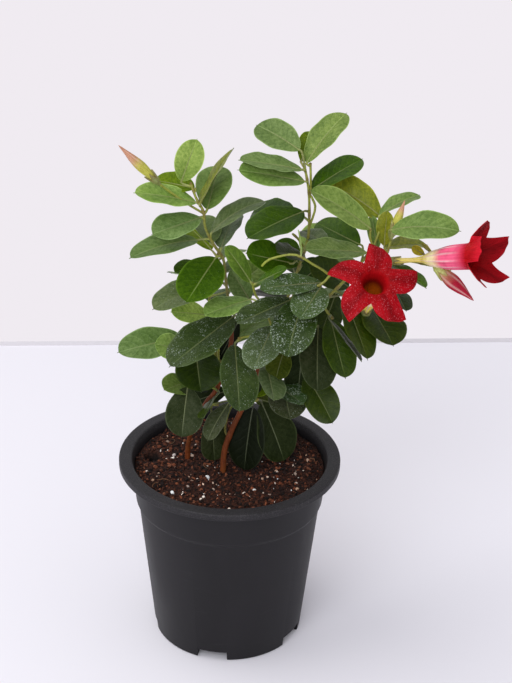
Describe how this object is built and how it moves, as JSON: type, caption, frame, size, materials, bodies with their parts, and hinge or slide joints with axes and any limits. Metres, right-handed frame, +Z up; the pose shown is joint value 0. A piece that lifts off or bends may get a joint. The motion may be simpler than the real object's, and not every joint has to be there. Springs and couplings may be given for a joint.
{
  "type": "potted mandevilla plant",
  "caption": "Flowering mandevilla with glossy oval leaves and red trumpet blooms, growing in a flanged round plastic nursery pot.",
  "frame": {"origin": "on the pot's axis, at the flat underside that the pot stands on", "axes": "+Z up, +X to the right and +Y away from the viewer of the plant's front side"},
  "size_m": [0.2115, 0.13, 0.3213],
  "materials": {
    "pot_plastic": "satin black, finely grained",
    "soil_mix": "coarse reddish-brown coco mix with white grit",
    "leaf_green": "glossy leaf",
    "stem_bark": "smooth young bark",
    "petal_red": "velvety crimson petal",
    "bud_red": "soft closed bud"
  },
  "bodies": {
    "root": {"pot": "pot_plastic", "soil": "soil_mix", "stem_left": "stem_bark", "stem_right": "stem_bark", "shoot_left": "leaf_green", "shoot_top": "leaf_green", "shoot_right": "leaf_green", "shoot_front": "leaf_green", "shoot_low_left": "leaf_green", "shoot_low": "leaf_green", "shoot_base": "leaf_green", "shoot_foot": "leaf_green", "shoot_low_right": "leaf_green", "shoot_back_left": "leaf_green", "shoot_back_right": "leaf_green", "shoot_back_low": "leaf_green", "bloom_front": "petal_red", "bloom_side": "petal_red", "bud_left": "bud_red", "bud_top": "bud_red", "bud_low": "bud_red"}
  },
  "joints": []
}
